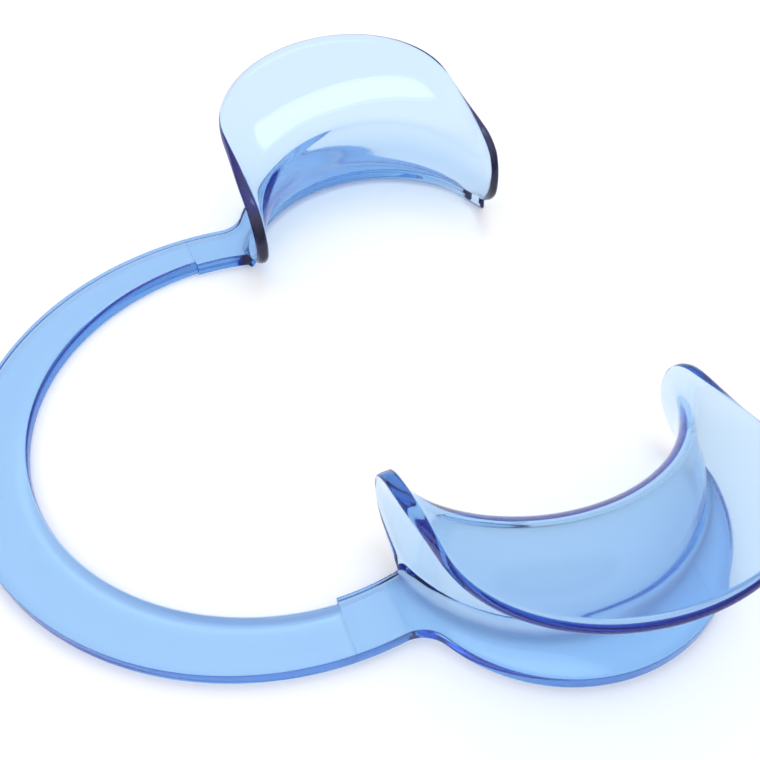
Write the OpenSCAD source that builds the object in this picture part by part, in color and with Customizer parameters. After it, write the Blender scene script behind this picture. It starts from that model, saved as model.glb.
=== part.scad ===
// C-shaped cheek retractor: a flat springy bow with a saddle-shaped cup at each end.
// Each cup holds the corner of the mouth in a groove between a flat outer flange and a
// flared cheek wing. Z = 0 is the flat underside, Y runs from cheek to cheek, and the
// bow opens towards +X. The left half is drawn on the +Y side about the bow's centre and
// mirrored for the right; the origin is the middle of the whole footprint.

/* [Bow] */
// Outer radius of the flat bow
bow_r = 40; // [36:0.5:44]
// Width of the bow's flat face where it meets the necks
bow_w = 7; // [6:0.25:8]
// Width of the bow's flat face at the crown
crown_w = 8.2; // [7:0.1:9]
// Thickness of the bow and of the outer flanges
bow_t = 2.2; // [1.8:0.1:2.8]
// Angle short of the Y axis at which the bow arm meets the neck
neck_start = 2; // [0:0.5:6]
// How far the neck is wider than the bow arm, on the mouth side
neck_step = 0.6; // [0.2:0.1:1]
// How far the neck stands above the bow arm
neck_rise = 0.2; // [0:0.1:0.6]
// Radius of the fillet between the neck and the flange outline
neck_fillet = 4; // [2:0.5:5]
// Radius of the fillet between the neck and the foot of the wall
inner_fillet = 1.4; // [0.8:0.1:2]

/* [Flex section] */
// Largest angle by which the bow is squeezed shut
flex_max = 22; // [10:1:24]
// Running gap around the knuckle at the crown
flex_gap = 0.2; // [0.1:0.05:0.4]

/* [Cup] */
// Distance from the bow centre to the middle of the cups along X
cup_x = 27.5; // [26:0.25:29]
// Wall thickness of the lip channel and the cheek wing
wall = 1.8; // [1.4:0.1:2]
// Radius of the outer flange outline
flange_r = 20.9; // [20:0.1:22]
// Distance of the flange centre from the middle plane
flange_y = 32.4; // [31:0.1:34]
// Distance of the flange centre from the bow centre along X
flange_x = 27.1; // [26.5:0.1:28]

/* [Lip channel] */
// Radius of the foot of the wall, at its mid-thickness
web_r = 21; // [20:0.1:22]
// Distance of the foot's centre from the middle plane
web_y = 25.2; // [24:0.1:26]
// Half of the angle that the foot spans
web_half_angle = 75; // [72:0.5:77]
// Angle by which the foot is turned towards the open side of the bow
web_turn = 1.5; // [0:0.5:3]
// Height of the fold between the channel and the wing, at mid-cup
fold_z = 14.5; // [12:0.25:16]
// Distance of the fold from the middle plane, at mid-cup
fold_y = 41; // [39:0.25:43]
// How late the wall starts to lean towards the mouth, at mid-cup
wall_curl = 1.5; // [1.2:0.1:2]
// How soon it leans at the two ends of a cup, where it leans most
end_lean = 2.4; // [1.8:0.1:2.6]

/* [Cheek wing] */
// Distance from the bow centre to the middle of the rims along X
rim_x = 27.3; // [27:0.1:28]
// Half of the rim's width along the cup, seen from above
rim_r = 19.4; // [19:0.1:20]
// Reach of the rim's round end, seen from above
rim_reach = 16.7; // [16:0.1:18]
// Distance from the middle plane to where the round end starts
rim_y = 41.6; // [40:0.1:43]
// Height of the rim's mid-thickness at mid-cup
rim_z = 21.4; // [20:0.1:22]
// Angle at which the rim drops towards the ears
rim_slope = 11; // [8:0.5:14]
// Angle at which the rim rises towards the open side of the bow
rim_tilt = 2.5; // [0:0.5:4]
// Half of the distance between the two ear tips of a cup
ear_x = 19.4; // [18.6:0.1:19.8]
// Distance of the ear tips from the middle plane
ear_y = 23.6; // [22:0.1:25]
// Radius of the rounded ears, seen from the side
ear_r = 7; // [5.5:0.1:8]

/* [Mesh] */
// Steps along a cup
steps_u = 36; // [24:2:44]
// Steps up the wall of the lip channel
steps_web = 6; // [4:1:8]
// Steps across the cheek wing
steps_wing = 7; // [5:1:9]

/* [Hidden] */
$fn = 96;
eps = 0.001;
clear_blue = [0.33, 0.60, 0.93, 0.75];
pale_blue = [0.62, 0.80, 0.97, 0.65];
deep_blue = [0.12, 0.30, 0.75, 0.85];
// Bow and pivot of the flex section
bow_in = bow_r - bow_w;
bow_shift = crown_w - bow_w;
pivot_x = -(bow_r - crown_w / 2);
knuckle_r = crown_w / 2 - flex_gap;
seat_r = crown_w / 2;
seat_start = (crown_w / 2 + 0.3) * sin(flex_max + 2);
far = 3 * bow_r;
arc_steps = 10;
// Middle of the footprint along X, measured from the bow's centre
middle_x = (cup_x + (web_r + wall / 2) * sin(web_half_angle + web_turn) - bow_r) / 2;
// Mouth-side radius of the plate under the wall
plate_in = web_r - wall / 2;
// Ear circle in side view: centre distance and height, tangent to the sloping rim
rim_mid_y = rim_y + rim_reach;
ear_cy = ear_y + ear_r;
ear_cz = rim_z - tan(rim_slope) * (rim_mid_y - ear_cy) - ear_r / cos(rim_slope);
ear_join_y = ear_cy - ear_r * sin(rim_slope);
// The rim starts on the ear circle, this angle above its foremost point
rim_start = 40;
rim_lead = ear_r * (1 - cos(rim_start));
rim_side = rim_y - ear_y;
rim_quarter = rim_r * PI / 2;
// Arc of the fold in plan: through both ear tips and the middle
fold_rise = fold_y - ear_y;
fold_r = (ear_x * ear_x + fold_rise * fold_rise) / (2 * fold_rise);
fold_half_angle = atan2(ear_x, fold_r - fold_rise);

// Point where two circles about the points a and b cross, on the side given by s
function circles_cross(a, ra, b, rb, s) =
  let (
    d = norm(b - a),
    along = (d * d + ra * ra - rb * rb) / (2 * d),
    up = sqrt(ra * ra - along * along),
    e = (b - a) / d
  )
  a + along * e + s * up * [-e[1], e[0]];

function unit(v) = v / norm(v);

// Foot of the wall on top of the plate; u runs from -1 to 1 along the cup
function foot_point(u) =
  let (a = web_half_angle * u + web_turn)
  [cup_x + web_r * sin(a), web_y + web_r * cos(a), bow_t];

// Fold between channel and wing; it dips to the ears' height at both ends
function fold_point(u) =
  let (a = fold_half_angle * u)
  [
    rim_x + fold_r * sin(a),
    fold_y - fold_r * (1 - cos(a)),
    fold_z + (ear_cz - fold_z) * u * u + tan(rim_tilt) * ear_x * u
  ];

// Height of the rim at distance y from the middle plane
function rim_height(y) =
  y < ear_join_y
    ? ear_cz + sqrt(max(0, ear_r * ear_r - pow(y - ear_cy, 2)))
    : rim_z - tan(rim_slope) * (rim_mid_y - y);

// Rim of the wing: straight beside the ears, then half an ellipse
function rim_point(u) =
  let (
    run = rim_lead + (1 - abs(u)) * (rim_side + rim_quarter - rim_lead),
    turn = max(0, run - rim_side) / rim_r * 180 / PI,
    half = run < rim_side
      ? ear_x + (rim_r - ear_x) * run / rim_side
      : rim_r * cos(turn),
    x = u < 0 ? -half : half,
    y = run < rim_side ? ear_y + run : rim_y + rim_reach * sin(turn)
  )
  [rim_x + x, y, rim_height(y) + tan(rim_tilt) * x];

// Blend of two points: plan position by share p, height by share h
function blend_points(a, b, p, h) =
  [a[0] + (b[0] - a[0]) * p, a[1] + (b[1] - a[1]) * p, a[2] + (b[2] - a[2]) * h];

// Share of the wall's lean at height v: late at mid-cup, early at the ends
function lean(u, v) =
  let (end = pow(u, 4))
  end * (1 - pow(1 - v, end_lean)) + (1 - end) * pow(sin(90 * v), wall_curl);

// Mid-surface of the cup: v from 0 to 1 climbs the channel wall, 1 to 2 crosses the wing
function cup_point(u, v) =
  v <= 1
    ? blend_points(foot_point(u), fold_point(u), lean(u, v), v)
    : blend_points(fold_point(u), rim_point(u), pow(v - 1, 2), v - 1);

// Unit normal of the mid-surface, pointing away from the mouth
function cup_normal(u, v) =
  let (
    u0 = max(u - eps, -1),
    u1 = min(u + eps, 1),
    v0 = v > 1 ? max(v - eps, 1) : max(v - eps, 0),
    v1 = v < 1 ? min(v + eps, 1) : min(v + eps, 2),
    along = cup_point(u1, v) - cup_point(u0, v),
    rise = v == 0 || v == 1 ? [0, 0, 1] : cup_point(u, v1) - cup_point(u, v0)
  )
  unit(cross(rise, along));

// Closed shell of the wall between two values of v
module cup_shell(v_start, v_end, steps_v) {
  cols = steps_u + 1;
  rows = steps_v + 1;
  us = [for (c = [0:steps_u]) -1 + 2 * c / steps_u];
  vs = [for (r = [0:steps_v]) v_start + (v_end - v_start) * r / steps_v];
  mouth_side = [for (v = vs, u = us) cup_point(u, v) - cup_normal(u, v) * wall / 2];
  groove_side = [for (v = vs, u = us) cup_point(u, v) + cup_normal(u, v) * wall / 2];
  n = cols * rows;
  skin = [
    for (r = [0:steps_v - 1], c = [0:steps_u - 1])
    let (i = r * cols + c, j = i + cols)
    each [
      [i, j, i + 1], [i + 1, j, j + 1],
      [n + i, n + i + 1, n + j], [n + i + 1, n + j + 1, n + j]
    ]
  ];
  foot_and_top = [
    for (c = [0:steps_u - 1])
    let (i = c, j = steps_v * cols + c)
    each [
      [i, i + 1, n + i], [i + 1, n + i + 1, n + i],
      [j, n + j, j + 1], [j + 1, n + j, n + j + 1]
    ]
  ];
  ends = [
    for (r = [0:steps_v - 1])
    let (i = r * cols, j = i + cols, k = i + steps_u, l = k + cols)
    each [
      [i, n + i, j], [j, n + i, n + j],
      [k, l, n + k], [l, n + l, n + k]
    ]
  ];
  polyhedron(
    points = concat(mouth_side, groove_side),
    faces = concat(skin, foot_and_top, ends),
    convexity = 6
  );
}

// Sector of a large disc about the bow centre, between two angles under 180 apart
module sector(a0, a1) {
  polygon([
    [0, 0],
    far * [cos(a0), sin(a0)],
    far * [cos((a0 + a1) / 2), sin((a0 + a1) / 2)],
    far * [cos(a1), sin(a1)]
  ]);
}

// One arm of the bow; its inner edge is set off towards the opening, so it widens
// from the neck to the crown
module bow_arm_outline() {
  intersection() {
    difference() {
      circle(r = bow_r);
      translate([bow_shift, 0]) circle(r = bow_in);
    }
    sector(90 + neck_start, 180);
  }
}

// Arm with the round knuckle that the other half turns on
module knuckle_arm() {
  linear_extrude(height = bow_t) {
    bow_arm_outline();
    translate([pivot_x, 0]) circle(r = knuckle_r);
  }
}

// Arm with the hollow seat around the knuckle
module seat_arm() {
  linear_extrude(height = bow_t)
  difference() {
    bow_arm_outline();
    translate([pivot_x, 0]) circle(r = seat_r);
    translate([pivot_x - crown_w, -1]) square([2 * crown_w, 1 + seat_start]);
  }
}

// Points along an arc about c, from angle a0 to a1
function arc_points(c, r, a0, a1) =
  [for (i = [0:arc_steps]) let (a = a0 + (a1 - a0) * i / arc_steps) c + r * [cos(a), sin(a)]];

// Direction in degrees of the point b seen from a
function heading(a, b) = atan2(b[1] - a[1], b[0] - a[0]);

// Wider and slightly raised end of the arm, with tangent fillets into the cup's outline
module neck() {
  neck_in = bow_in - neck_step;
  flange_c = [flange_x, flange_y];
  c1 = circles_cross([0, 0], bow_r + neck_fillet, flange_c, flange_r + neck_fillet, 1);
  c2 = circles_cross([0, 0], neck_in - inner_fillet, flange_c, flange_r + inner_fillet, 1);
  outline = concat(
    arc_points([0, 0], bow_r, 90 + neck_start, heading([0, 0], c1)),
    arc_points(c1, neck_fillet, heading(c1, [0, 0]), heading(c1, flange_c)),
    [flange_c],
    arc_points(c2, inner_fillet, heading(c2, flange_c), heading([0, 0], c2)),
    arc_points([0, 0], neck_in, heading([0, 0], c2), 90 + neck_start)
  );
  linear_extrude(height = bow_t + neck_rise)
  difference() {
    polygon(outline);
    translate(flange_c) circle(r = flange_r);
  }
}

// Flat crescent outside the lip groove, with the strip under the wall
module outer_flange() {
  linear_extrude(height = bow_t)
  intersection() {
    difference() {
      translate([flange_x, flange_y]) circle(r = flange_r);
      translate([cup_x, web_y]) circle(r = plate_in);
    }
    translate([cup_x, web_y])
      sector(90 - web_half_angle - web_turn, 90 + web_half_angle - web_turn);
  }
}

// Puts a shape drawn about the bow's centre on its side of the object
module on_side(side) {
  translate([-middle_x, 0, 0])
  if (side > 0) children();
  else mirror([0, 1, 0]) children();
}

module left_bow_arm() {
  color(clear_blue) on_side(1) seat_arm();
}

module right_bow_arm() {
  color(clear_blue) on_side(-1) knuckle_arm();
}

module left_neck() {
  color(deep_blue) on_side(1) neck();
}

module right_neck() {
  color(deep_blue) on_side(-1) neck();
}

module left_outer_flange() {
  color(clear_blue) on_side(1) outer_flange();
}

module right_outer_flange() {
  color(clear_blue) on_side(-1) outer_flange();
}

module left_lip_channel() {
  color(clear_blue) on_side(1) cup_shell(0, 1, steps_web);
}

module right_lip_channel() {
  color(clear_blue) on_side(-1) cup_shell(0, 1, steps_web);
}

module left_cheek_wing() {
  color(pale_blue) on_side(1) cup_shell(1, 2, steps_wing);
}

module right_cheek_wing() {
  color(pale_blue) on_side(-1) cup_shell(1, 2, steps_wing);
}

left_bow_arm();
right_bow_arm();
left_neck();
right_neck();
left_outer_flange();
right_outer_flange();
left_lip_channel();
right_lip_channel();
left_cheek_wing();
right_cheek_wing();
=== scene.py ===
"""Clear blue cheek retractor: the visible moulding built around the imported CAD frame.

Metres, in the frame's axes: Z = 0 is the flat underside, Y runs from cheek to cheek and
the bow opens towards +X. The left cup is built on the +Y side and mirrored for the right.
"""

import math

import bmesh
import bpy
import numpy as np
from mathutils import Matrix, Vector

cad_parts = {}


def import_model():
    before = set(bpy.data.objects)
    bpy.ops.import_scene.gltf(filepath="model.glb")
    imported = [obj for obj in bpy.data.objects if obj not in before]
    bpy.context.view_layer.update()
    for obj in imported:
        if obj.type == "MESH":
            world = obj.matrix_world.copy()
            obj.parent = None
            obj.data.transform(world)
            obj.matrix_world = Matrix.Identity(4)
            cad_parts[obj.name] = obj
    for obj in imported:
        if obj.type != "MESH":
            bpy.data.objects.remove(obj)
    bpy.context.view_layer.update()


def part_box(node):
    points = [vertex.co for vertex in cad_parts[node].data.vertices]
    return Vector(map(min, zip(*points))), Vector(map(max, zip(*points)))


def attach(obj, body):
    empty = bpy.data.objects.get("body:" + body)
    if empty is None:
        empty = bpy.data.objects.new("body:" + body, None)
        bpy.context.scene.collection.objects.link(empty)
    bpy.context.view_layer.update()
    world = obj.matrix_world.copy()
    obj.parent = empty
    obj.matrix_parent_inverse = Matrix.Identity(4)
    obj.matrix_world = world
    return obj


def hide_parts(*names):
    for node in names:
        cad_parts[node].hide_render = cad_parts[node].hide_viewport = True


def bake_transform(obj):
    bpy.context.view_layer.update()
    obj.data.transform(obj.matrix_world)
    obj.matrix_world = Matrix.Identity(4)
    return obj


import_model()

MM = 0.001
DEG = math.pi / 180

# Bow: radii of its flat ring, thickness, and the step where it meets the necks
BOW_R = 40 * MM
BOW_W = 7 * MM
CROWN_W = 8.2 * MM
PLATE_T = 2.2 * MM
SEAM_ANGLE = 92 * DEG
NECK_STEP = 0.6 * MM
NECK_FILLET = 4 * MM
SEAM_GAP = 0.02 * MM
BOW_IN = BOW_R - BOW_W
# The bow's inner edge is a circle set off towards the opening, which widens the crown
BOW_SHIFT = CROWN_W - BOW_W
NECK_IN = BOW_IN - NECK_STEP
# Centre of the bow's ring along X: the right arm reaches one radius to the left of it
BOW_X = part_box("right_bow_arm")[0].x + BOW_R

# Cup: the wall's foot is an arc about (CUP_X, WEB_Y), the flange an arc about FLANGE_C
CUP_X = BOW_X + 27.5 * MM
WALL = 1.8 * MM
HALF_WALL = WALL / 2
WEB_R = 21 * MM
WEB_Y = 25.2 * MM
WEB_HALF = 75 * DEG
WEB_TURN = 1.5 * DEG
FLANGE_R = 20.9 * MM
FLANGE_C = np.array([BOW_X + 27.1 * MM, 32.4 * MM])
WEB_C = np.array([CUP_X, WEB_Y])
BOW_C = np.array([BOW_X, 0.0])

# Fold between the channel and the wing, and the wing's rim with its two ears
FOLD_Z = 14.5 * MM
FOLD_Y = 41 * MM
# Powers that say how late the wall leans at mid-cup, and how soon at the two ends
WALL_CURL = 1.5
END_LEAN = 2.4
RIM_X = BOW_X + 27.3 * MM
RIM_R = 19.4 * MM
RIM_REACH = 16.7 * MM
RIM_Y = 41.6 * MM
RIM_Z = 21.4 * MM
RIM_SLOPE = math.tan(11 * DEG)
RIM_TILT = math.tan(2.5 * DEG)
EAR_X = 19.4 * MM
EAR_Y = 23.6 * MM
EAR_R = 7 * MM
# The rim line starts this far round the ear
RIM_START = 40 * DEG
RIM_MID_Y = RIM_Y + RIM_REACH
EAR_CY = EAR_Y + EAR_R
EAR_CZ = RIM_Z - RIM_SLOPE * (RIM_MID_Y - EAR_CY) - EAR_R * math.hypot(1, RIM_SLOPE)
EAR_JOIN_Y = EAR_CY - EAR_R * RIM_SLOPE / math.hypot(1, RIM_SLOPE)
RIM_LEAD = EAR_R * (1 - math.cos(RIM_START))
RIM_SIDE = RIM_Y - EAR_Y
RIM_QUARTER = RIM_R * math.pi / 2
FOLD_RISE = FOLD_Y - EAR_Y
FOLD_R = (EAR_X**2 + FOLD_RISE**2) / (2 * FOLD_RISE)
FOLD_HALF = math.atan2(EAR_X, FOLD_R - FOLD_RISE)

# Roundings: plate edges, and the neck's corner with the wall
EDGE_R = 0.35 * MM
INNER_FILLET = 2.2 * MM
# Fillet in the groove: its radius, its share of a narrow ledge, and how far it turns
GROOVE_FILLET = 0.7 * MM
FILLET_MIN = 0.02 * MM
FILLET_SHARE = 0.6
FILLET_TURN = 83 * DEG
# Bend from plate to wall on the mouth side, and its share of a narrow ledge
BEND_MAX = 2.1 * MM
BEND_SHARE = 0.5
# The neck keeps a ledge beside the wall, which fades in over this much of u
NECK_LEDGE = 1.8 * MM
NECK_FADE = 0.08
# Share of its thickness that the sheet loses at the ends on the bow's open side
END_THIN = 0.3
# v over which the wall turns from upright at the foot to its own lean
FOOT_FADE = 0.15
# The crescent runs out into the wall between two angles about WEB_C
RUNOUT_START = 63 * DEG
RUNOUT_END = 69.5 * DEG
RUNOUT_R = WEB_R + 0.8 * HALF_WALL
# Plan radius of the wall's rounded end, and how far the plate's edge hides in the wall
CAP_R = 0.85 * HALF_WALL
OVERLAP = 0.1 * MM
# The hidden edge starts this far back from the end of the runout
HIDDEN_BACK = 1 * DEG
# The bow's inner top edge has a wide soft bevel
BEVEL_W = 1.3 * MM
BEVEL_H = 0.8 * MM

# Mesh steps round edges, along the cup and the bow, and up the wall
END_STEPS = 6
EDGE_STEPS = 4
CUP_STEPS = 110
FILLET_STEPS = 6
WALL_STEPS = 18
WING_STEPS = 22
BOW_STEPS = 220
# Mesh steps round the plate's outline, stretch by stretch
ARM_STEPS = 24
CORNER_STEPS = 14
CRESCENT_STEPS = 110
RUNOUT_STEPS = 14
HIDDEN_STEPS = 89
INNER_STEPS = 16
# Small step in u or v that measures a length, merging distance, and smallest sharp angle
NUDGE = 1e-3
MERGE = 0.001 * MM
CREASE = 32 * DEG

# Room: the floor lies just under the object, and light crosses the plastic many times
FLOOR_HALF = 3.0
FLOOR_DROP = 0.08 * MM
BOUNCES = 48


# ---------------------------------------------------------------- cup surface


def stack(x, y, z):
    """Points from coordinates of any matching shapes."""
    return np.stack(np.broadcast_arrays(x, y, z), axis=-1)


def foot_point(u):
    """Foot of the wall on the plate; u runs from -1 to 1 along the cup."""
    a = WEB_HALF * u + WEB_TURN
    return stack(CUP_X + WEB_R * np.sin(a), WEB_Y + WEB_R * np.cos(a), PLATE_T)


def fold_height(u):
    """Height of the fold, which drops to the ears and rises towards the open side."""
    return FOLD_Z + (EAR_CZ - FOLD_Z) * u * u + RIM_TILT * EAR_X * u


def fold_point(u):
    """Fold between channel and wing; it dips to the ears' height at both ends."""
    a = FOLD_HALF * u
    x = RIM_X + FOLD_R * np.sin(a)
    y = FOLD_Y - FOLD_R * (1 - np.cos(a))
    return stack(x, y, fold_height(u))


def rim_point(u):
    """Rim of the wing: straight beside the ears, then half an ellipse."""
    run = RIM_LEAD + (1 - abs(u)) * (RIM_SIDE + RIM_QUARTER - RIM_LEAD)
    turn = np.maximum(0, run - RIM_SIDE) / RIM_R
    straight = run < RIM_SIDE
    half = np.where(straight, EAR_X + (RIM_R - EAR_X) * run / RIM_SIDE, RIM_R * np.cos(turn))
    x = np.sign(u) * half
    y = np.where(straight, EAR_Y + run, RIM_Y + RIM_REACH * np.sin(turn))
    on_ear = EAR_CZ + np.sqrt(np.maximum(0, EAR_R**2 - (y - EAR_CY) ** 2))
    on_slope = RIM_Z - RIM_SLOPE * (RIM_MID_Y - y)
    return stack(RIM_X + x, y, np.where(y < EAR_JOIN_Y, on_ear, on_slope) + RIM_TILT * x)


def blend_points(a, b, plan, height):
    """From a to b by one share in plan and another in height."""
    share = stack(plan, plan, height)
    return a + (b - a) * share


def lean(u, v):
    """Share of the wall's lean at height v: late at mid-cup, early at the ends."""
    end = u**4
    return end * (1 - (1 - v) ** END_LEAN) + (1 - end) * np.sin(v * math.pi / 2) ** WALL_CURL


def cup_point(u, v):
    """Mid-surface: v from 0 to 1 climbs the channel wall, 1 to 2 crosses the wing."""
    low = np.clip(v, 0, 1)
    high = np.clip(v - 1, 0, 1)
    wall = blend_points(foot_point(u), fold_point(u), lean(u, low), low)
    wing = blend_points(fold_point(u), rim_point(u), high**2, high)
    return np.where((v <= 1)[..., None], wall, wing)


def cup_normal(u, v):
    """Unit normal of the mid-surface, pointing away from the mouth; level at the foot."""
    step = 1e-4
    along = cup_point(np.minimum(u + step, 1), v) - cup_point(np.maximum(u - step, -1), v)
    rise = cup_point(u, np.minimum(v + step, 2)) - cup_point(u, np.maximum(v - step, 0))
    n = np.cross(rise, along)
    n[..., 2] *= np.clip(v / FOOT_FADE, 0, 1)
    return n / np.linalg.norm(n, axis=-1, keepdims=True)


def flange_reach(a):
    """Distance from WEB_C to the flange outline in the direction a from +Y."""
    offset = FLANGE_C - WEB_C
    along = np.sin(a) * offset[0] + np.cos(a) * offset[1]
    return along + np.sqrt(along**2 + FLANGE_R**2 - offset @ offset)


def plate_reach(a):
    """The same for the plate, which runs out into the wall near its far end."""
    share = np.clip((a - RUNOUT_START) / (RUNOUT_END - RUNOUT_START), 0, 1)
    return RUNOUT_R + (flange_reach(a) - RUNOUT_R) * np.cos(share * math.pi / 2)


# ---------------------------------------------------------------- mesh helpers


def mesh_object(name, bm):
    """Object made from a finished bmesh, with doubles merged and normals outward."""
    bmesh.ops.remove_doubles(bm, verts=bm.verts, dist=MERGE)
    bmesh.ops.recalc_face_normals(bm, faces=bm.faces)
    mesh = bpy.data.meshes.new(name)
    bm.to_mesh(mesh)
    bm.free()
    obj = bpy.data.objects.new(name, mesh)
    bpy.context.collection.objects.link(obj)
    return obj


def grid_verts(bm, points):
    """Vertices for a grid of points, as nested lists."""
    return [[bm.verts.new(p) for p in row] for row in points]


def grid_faces(bm, rows):
    """Quads between neighbouring rows of vertices."""
    for low, high in zip(rows, rows[1:]):
        for i in range(len(low) - 1):
            bm.faces.new((low[i], low[i + 1], high[i + 1], high[i]))


def arc(centre, radius, start, end, steps):
    """Points along an arc in plan."""
    a = np.linspace(start, end, steps + 1)
    return centre + radius * np.stack([np.cos(a), np.sin(a)], axis=-1)


def heading(a, b):
    """Direction from a to b in plan."""
    return math.atan2(b[1] - a[1], b[0] - a[0])


def circles_cross(a, ra, b, rb):
    """Where two circles cross, on the left of the way from a to b."""
    d = np.linalg.norm(b - a)
    along = (d * d + ra * ra - rb * rb) / (2 * d)
    up = math.sqrt(ra * ra - along * along)
    e = (b - a) / d
    return a + along * e + up * np.array([-e[1], e[0]])


def finish_mesh(obj):
    """Smooth shading with the flats kept flat."""
    mesh = obj.data
    mesh.shade_smooth()
    mesh.set_sharp_from_angle(angle=CREASE)
    weighted = obj.modifiers.new("flat_faces", "WEIGHTED_NORMAL")
    weighted.keep_sharp = True
    weighted.weight = 100


# ---------------------------------------------------------------- cup meshes


def wall_rows():
    """Rows up the wall as (kind, t), with t from 0 to a quarter turn or from 0 to 1.

    Kinds: "foot" turns round the bottom edges, "fillet" climbs the groove fillet, "wall"
    and "wing" climb the two parts of the mid-surface, "rim" turns round the rim.
    """
    turns = np.linspace(0, 1, END_STEPS + 1) * math.pi / 2
    rows = [("foot", t) for t in turns]
    rows += [("fillet", t) for t in np.linspace(0, 1, FILLET_STEPS + 1)]
    rows += [("wall", t) for t in np.linspace(0, 1, WALL_STEPS + 1)[1:]]
    rows += [("wing", t) for t in np.linspace(0, 1, WING_STEPS + 1)[1:]]
    rows += [("rim", t) for t in turns[1:]]
    return rows


def ledge(u):
    """Width of the plate beside the wall; the neck widens it at the -X end."""
    beside = plate_reach(WEB_HALF * u + WEB_TURN) - WEB_R - HALF_WALL
    on_neck = NECK_LEDGE * np.clip((1 + u) / NECK_FADE, 0, 1)
    return np.where(u < 0, np.maximum(beside, on_neck), beside)


def fillet_size(u):
    """Radius of the groove fillet, less where the ledge is narrow."""
    return np.clip(FILLET_SHARE * (ledge(u) - EDGE_R), FILLET_MIN, GROOVE_FILLET)


def bend_size(u):
    """Radius of the bottom edge on the mouth side, less where the ledge is narrow."""
    return np.clip(HALF_WALL + BEND_SHARE * ledge(u), HALF_WALL, BEND_MAX)


def row_points(kind, t, u):
    """v along one row, then (drop below the mid-surface, offset from it) for the mouth side
    and for the groove side."""
    flat = np.zeros_like(u)
    fillet = fillet_size(u)
    bend = bend_size(u)
    half = HALF_WALL * (1 - END_THIN * np.clip(2 * u - 1, 0, 1) ** 2)
    climb = fold_height(u) - PLATE_T
    rim_step = cup_point(u, flat + 2) - cup_point(u, flat + 2 - NUDGE)
    v_top = 2 - HALF_WALL * NUDGE / np.linalg.norm(rim_step, axis=-1)
    if kind == "foot":
        rise = 1 - math.cos(t)
        inset = 1 - math.sin(t)
        mouth = (PLATE_T - bend * rise, half - bend * inset)
        groove = (PLATE_T - EDGE_R * rise + flat, half - EDGE_R * inset + fillet)
        return flat, mouth, groove
    if kind == "fillet":
        turn = (1 - t) * FILLET_TURN
        height = fillet * (1 - math.sin(turn) / math.sin(FILLET_TURN))
        return height / climb, (flat, half), (flat, half + fillet * (1 - math.cos(turn)))
    if kind == "wall":
        start = fillet / climb
        return start + (1 - start) * t, (flat, half), (flat, half)
    if kind == "wing":
        return 1 + (v_top - 1) * t, (flat, half), (flat, half)
    thin = half * math.cos(t)
    return v_top + (2 - v_top) * math.sin(t), (flat, thin), (flat, thin)


def wall_solid():
    """The wall and wing as one closed shell with rounded rim and ends, down to Z = 0."""
    turns = np.linspace(1, 0, END_STEPS + 1) * math.pi / 2
    mouth_side = []
    groove_side = []
    for kind, t in wall_rows():
        near_end = np.array([1 - NUDGE, 1.0])
        ends = cup_point(near_end, row_points(kind, t, near_end)[0])
        margin = HALF_WALL * NUDGE / np.linalg.norm(ends[1] - ends[0])
        lead = 1 - margin * (1 - np.sin(turns))
        middle = np.linspace(-1, 1, CUP_STEPS + 1)[1:-1] * (1 - margin)
        u = np.concatenate([-lead, middle, lead[::-1]])
        taper = np.concatenate([np.cos(turns), np.ones(len(middle)), np.cos(turns[::-1])])
        v, (mouth_drop, mouth), (groove_drop, groove) = row_points(kind, t, u)
        mouth_drop = groove_drop + (mouth_drop - groove_drop) * taper
        centre = cup_point(u, v)
        n = cup_normal(u, v)
        down = np.array([0, 0, -1])
        mouth_side.append(centre - n * (mouth * taper)[:, None] + down * mouth_drop[:, None])
        groove_side.append(centre + n * (groove * taper)[:, None] + down * groove_drop[:, None])
    bm = bmesh.new()
    mouth_verts = grid_verts(bm, mouth_side)
    groove_verts = grid_verts(bm, groove_side)
    grid_faces(bm, mouth_verts)
    grid_faces(bm, groove_verts)
    grid_faces(bm, [mouth_verts[0], groove_verts[0]])
    return mesh_object("wall_solid", bm)


def from_web(a, radius):
    """Point of the plan at the angle a from +Y about WEB_C."""
    return WEB_C + np.stack([radius * np.sin(a), radius * np.cos(a)], axis=-1)


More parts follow.
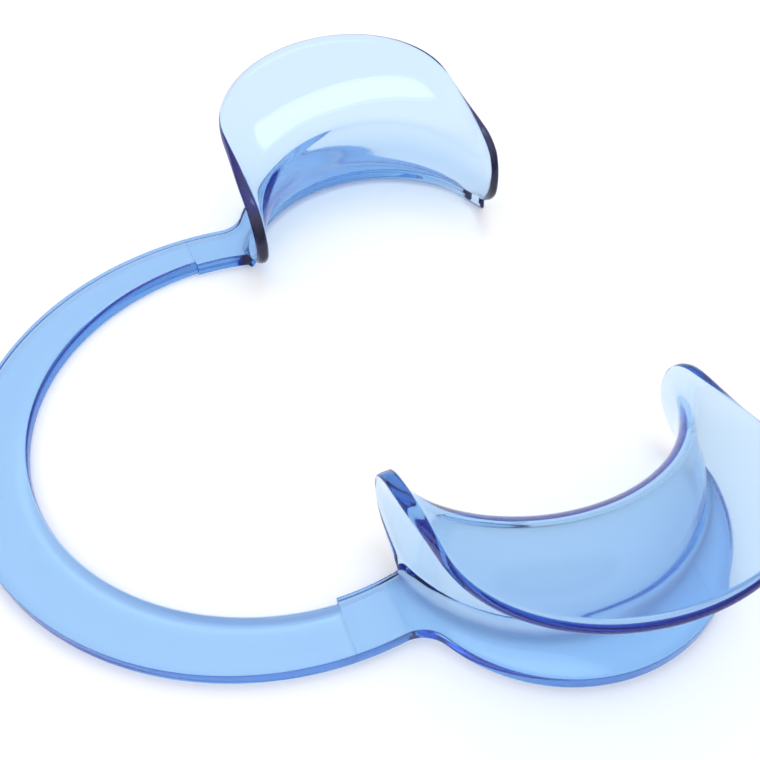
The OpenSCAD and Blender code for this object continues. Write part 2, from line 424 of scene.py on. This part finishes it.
def plate_outline():
    """Outline of crescent and neck from the seam's outer corner, clockwise, with the
    share of the edge rounding at each point: none along the hidden stretch in the wall."""
    c1 = circles_cross(BOW_C, BOW_R + NECK_FILLET, FLANGE_C, FLANGE_R + NECK_FILLET)
    cap_a = WEB_TURN - WEB_HALF + HALF_WALL / WEB_R
    cap = from_web(cap_a, WEB_R)
    c2 = circles_cross(BOW_C, NECK_IN - INNER_FILLET, cap, CAP_R + INNER_FILLET)
    away = from_web(RUNOUT_START, flange_reach(RUNOUT_START))
    runout = np.linspace(RUNOUT_START, RUNOUT_END, RUNOUT_STEPS + 1)[1:]
    hidden = np.linspace(RUNOUT_END - HIDDEN_BACK, cap_a, HIDDEN_STEPS + 1)
    inside = WEB_R - HALF_WALL + bend_size((hidden - WEB_TURN) / WEB_HALF) + OVERLAP
    arm = arc(BOW_C, BOW_R, SEAM_ANGLE, heading(BOW_C, c1), ARM_STEPS)
    corner = arc(c1, NECK_FILLET, heading(c1, BOW_C), heading(c1, FLANGE_C), CORNER_STEPS)
    turn = (heading(FLANGE_C, c1), heading(FLANGE_C, away))
    crescent = arc(FLANGE_C, FLANGE_R, *turn, CRESCENT_STEPS)
    inner = arc(c2, INNER_FILLET, heading(c2, cap), heading(BOW_C, c2), INNER_STEPS)
    back = arc(BOW_C, NECK_IN, heading(BOW_C, c2), SEAM_ANGLE, ARM_STEPS)
    stretches = [
        (arm, 1, 1),
        (corner[1:], 1, 1),
        (crescent[1:], 1, 1),
        (from_web(runout, plate_reach(runout)), 1, 0),
        (from_web(hidden, inside), 0, 0),
        (inner, 0, 2),
        (back[1:], 1, 1),
    ]
    points = np.concatenate([s[0] for s in stretches])
    share = np.concatenate([np.linspace(s[1], s[2], len(s[0])) for s in stretches])
    return points, np.minimum(share, 1)


def plate_solid():
    """Crescent and neck with rounded edges; the seam's end face stays square."""
    points, share = plate_outline()
    way = np.gradient(points, axis=0)
    way /= np.linalg.norm(way, axis=1, keepdims=True)
    outward = np.stack([-way[:, 1], way[:, 0]], axis=-1)
    seam = np.array([math.cos(SEAM_ANGLE), math.sin(SEAM_ANGLE)])
    outward[0] = seam
    outward[-1] = -seam
    turns = np.linspace(0, 1, EDGE_STEPS + 1) * math.pi / 2
    levels = [(EDGE_R * (1 - math.sin(t)), EDGE_R * (1 - math.cos(t))) for t in turns]
    levels += [(inset, PLATE_T - z) for inset, z in reversed(levels)]
    bm = bmesh.new()
    rings = []
    for inset, z in levels:
        plan = points - outward * (inset * share)[:, None]
        rings.append([bm.verts.new((x, y, z)) for x, y in plan])
    grid_faces(bm, rings)
    bm.faces.new(rings[0])
    bm.faces.new(rings[-1])
    bm.faces.new([r[0] for r in rings] + [r[-1] for r in reversed(rings)])
    return mesh_object("plate_solid", bm)


def join_solids(name, first, second):
    """Union of two closed meshes as a new object; the two are removed."""
    union = first.modifiers.new("join", "BOOLEAN")
    union.operation = "UNION"
    union.solver = "MANIFOLD"
    union.object = second
    graph = bpy.context.evaluated_depsgraph_get()
    mesh = bpy.data.meshes.new_from_object(first.evaluated_get(graph))
    for old in (first, second):
        bpy.data.objects.remove(old)
    mesh.name = name
    obj = bpy.data.objects.new(name, mesh)
    bpy.context.collection.objects.link(obj)
    return obj


def mirrored(obj, name):
    """Copy on the other side of the middle plane."""
    mesh = obj.data.copy()
    mesh.name = name
    mesh.transform(Matrix.Scale(-1, 4, Vector((0, 1, 0))))
    mesh.flip_normals()
    copy = bpy.data.objects.new(name, mesh)
    bpy.context.collection.objects.link(copy)
    return copy


# ---------------------------------------------------------------- bow


def bow_section(inner):
    """Section of the bow as (radius, height), from the outer bottom edge round to the inner."""
    turns = np.linspace(0, 1, EDGE_STEPS + 1) * math.pi / 2
    section = []
    for t in turns:
        section.append((BOW_R - EDGE_R * (1 - math.sin(t)), EDGE_R * (1 - math.cos(t))))
    for t in turns:
        section.append((BOW_R - EDGE_R * (1 - math.cos(t)), PLATE_T - EDGE_R * (1 - math.sin(t))))
    for t in turns:
        along = BEVEL_W * (1 - math.sin(t))
        section.append((inner + along, PLATE_T - BEVEL_H * (1 - math.cos(t))))
    for t in turns:
        section.append((inner + EDGE_R * (1 - math.cos(t)), EDGE_R * (1 - math.sin(t))))
    return section


def bow_mesh():
    """The bow from seam to seam as one sweep round its outer edge."""
    start = SEAM_ANGLE + SEAM_GAP / BOW_R
    bm = bmesh.new()
    rings = []
    for a in np.linspace(start, 2 * math.pi - start, BOW_STEPS + 1):
        off = BOW_SHIFT * math.sin(a)
        inner = BOW_SHIFT * math.cos(a) + math.sqrt(BOW_IN**2 - off**2)
        around = Vector((math.cos(a), math.sin(a), 0))
        ring = [bm.verts.new(Vector((BOW_X, 0, z)) + r * around) for r, z in bow_section(inner)]
        rings.append(ring + ring[:1])
    grid_faces(bm, rings)
    bm.faces.new(rings[0][:-1])
    bm.faces.new(rings[-1][:-1])
    return mesh_object("bow", bm)


# ---------------------------------------------------------------- materials and stage


def clear_plastic():
    """Transparent blue moulded plastic that darkens with depth."""
    mat = bpy.data.materials.new("clear_blue_plastic")
    mat.use_nodes = True
    nodes = mat.node_tree.nodes
    links = mat.node_tree.links
    bsdf = nodes["Principled BSDF"]
    bsdf.inputs["Base Color"].default_value = (1, 1, 1, 1)
    bsdf.inputs["Transmission Weight"].default_value = 1
    bsdf.inputs["IOR"].default_value = 1.52
    coords = nodes.new("ShaderNodeTexCoord")
    noise = nodes.new("ShaderNodeTexNoise")
    noise.inputs["Scale"].default_value = 90
    noise.inputs["Detail"].default_value = 4
    rough = nodes.new("ShaderNodeMapRange")
    rough.inputs["To Min"].default_value = 0.01
    rough.inputs["To Max"].default_value = 0.07
    bump = nodes.new("ShaderNodeBump")
    bump.inputs["Strength"].default_value = 0.03
    bump.inputs["Distance"].default_value = 0.2 * MM
    links.new(coords.outputs["Object"], noise.inputs["Vector"])
    links.new(noise.outputs["Fac"], rough.inputs["Value"])
    links.new(rough.outputs["Result"], bsdf.inputs["Roughness"])
    links.new(noise.outputs["Fac"], bump.inputs["Height"])
    links.new(bump.outputs["Normal"], bsdf.inputs["Normal"])
    inside = nodes.new("ShaderNodeVolumeAbsorption")
    inside.inputs["Color"].default_value = (0.107, 0.536, 0.875, 1)
    inside.inputs["Density"].default_value = 280
    links.new(inside.outputs["Volume"], nodes["Material Output"].inputs["Volume"])
    return mat


def floor():
    """Plain white floor."""
    bm = bmesh.new()
    bmesh.ops.create_grid(bm, x_segments=1, y_segments=1, size=FLOOR_HALF)
    obj = mesh_object("floor", bm)
    obj.location.z = -FLOOR_DROP
    mat = bpy.data.materials.new("floor_white")
    mat.use_nodes = True
    bsdf = mat.node_tree.nodes["Principled BSDF"]
    bsdf.inputs["Base Color"].default_value = (0.92, 0.92, 0.93, 1)
    bsdf.inputs["Roughness"].default_value = 0.9
    bsdf.inputs["Specular IOR Level"].default_value = 0.2
    obj.data.materials.append(mat)


def world():
    """Soft white light from all round, dimmer near the horizon."""
    w = bpy.data.worlds.new("studio")
    w.use_nodes = True
    nodes = w.node_tree.nodes
    links = w.node_tree.links
    coords = nodes.new("ShaderNodeTexCoord")
    split = nodes.new("ShaderNodeSeparateXYZ")
    ramp = nodes.new("ShaderNodeMapRange")
    ramp.inputs["From Min"].default_value = 0.0
    ramp.inputs["From Max"].default_value = 0.9
    ramp.inputs["To Min"].default_value = 0.38
    ramp.inputs["To Max"].default_value = 1.43
    links.new(coords.outputs["Generated"], split.inputs["Vector"])
    links.new(split.outputs["Z"], ramp.inputs["Value"])
    links.new(ramp.outputs["Result"], nodes["Background"].inputs["Strength"])
    nodes["Background"].inputs["Color"].default_value = (1, 1, 1, 1)
    bpy.context.scene.world = w


def area_light(name, place, target, size, power):
    """Square lamp that faces a point."""
    data = bpy.data.lights.new(name, "AREA")
    data.shape = "SQUARE"
    data.size = size
    data.energy = power
    obj = bpy.data.objects.new(name, data)
    obj.location = place
    obj.rotation_euler = (Vector(target) - Vector(place)).to_track_quat("-Z", "Y").to_euler()
    bpy.context.collection.objects.link(obj)


def camera():
    """Camera near the right cup, looking down across the bow."""
    bow = Vector((BOW_X, 0, 0))
    place = bow + Vector((-14.921, -89.458, 99.155)) * MM
    target = bow + Vector((16.879, -0.502, 0)) * MM
    roll = -2.754 * DEG
    data = bpy.data.cameras.new("camera")
    data.sensor_width = 36
    data.lens = 45.60
    data.clip_start = 0.01
    obj = bpy.data.objects.new("camera", data)
    turn = (target - place).to_track_quat("-Z", "Y").to_matrix().to_4x4()
    obj.matrix_world = Matrix.Translation(place) @ turn @ Matrix.Rotation(roll, 4, "Z")
    bpy.context.collection.objects.link(obj)
    bpy.context.scene.camera = obj


# ---------------------------------------------------------------- assembly

plastic = clear_plastic()

left_cup = join_solids("left_cup", wall_solid(), plate_solid())
right_cup = mirrored(left_cup, "right_cup")
bow = bow_mesh()

for piece in (left_cup, right_cup, bow):
    finish_mesh(piece)
    piece.data.materials.clear()
    piece.data.materials.append(plastic)

for side, piece in (("left", left_cup), ("right", right_cup)):
    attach(piece, side + "_half")
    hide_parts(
        side + "_neck",
        side + "_outer_flange",
        side + "_lip_channel",
        side + "_cheek_wing",
    )

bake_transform(bow)
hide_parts("left_bow_arm", "right_bow_arm")

floor()
world()
camera()
area_light("softbox", place=(0.19, 0.16, 0.76), target=(0, 0, 0), size=0.26, power=0.45)
cycles = bpy.context.scene.cycles
cycles.max_bounces = BOUNCES
cycles.transmission_bounces = BOUNCES
cycles.glossy_bounces = BOUNCES
cycles.blur_glossy = 0
bpy.context.scene.view_settings.view_transform = "Standard"
